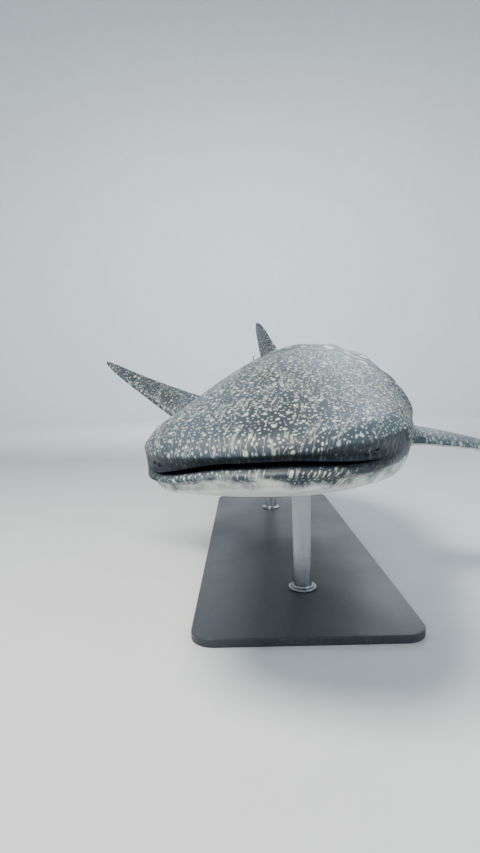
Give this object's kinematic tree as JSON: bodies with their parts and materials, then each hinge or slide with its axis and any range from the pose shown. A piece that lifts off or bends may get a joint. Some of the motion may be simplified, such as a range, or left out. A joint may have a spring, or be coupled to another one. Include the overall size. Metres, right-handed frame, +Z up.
{
  "type": "whale shark model",
  "caption": "Life-size whale shark swimming level with its mouth almost shut, on a flat base with short rods.",
  "frame": {"origin": "centre of the underside of the stand's base", "axes": "+Z up, head towards -Y, tail towards +Y, the shark's left side towards +X"},
  "size_m": [3.019, 6.2744, 1.8855],
  "materials": {
    "skin": "satin",
    "eye": "gloss",
    "rod": "satin",
    "base": "satin"
  },
  "bodies": {
    "root": {"head": "skin", "lower_jaw": "skin", "shoulder": "skin", "trunk": "skin", "flank": "skin", "tail": "skin", "first_dorsal_fin": "skin", "second_dorsal_fin": "skin", "anal_fin": "skin", "pectoral_fin_left": "skin", "pectoral_fin_right": "skin", "pelvic_fin_left": "skin", "pelvic_fin_right": "skin", "caudal_fin_upper": "skin", "caudal_fin_lower": "skin", "eye_left": "eye", "eye_right": "eye", "stand_rod_front": "rod", "stand_rod_rear": "rod", "stand_base": "base"}
  },
  "joints": []
}
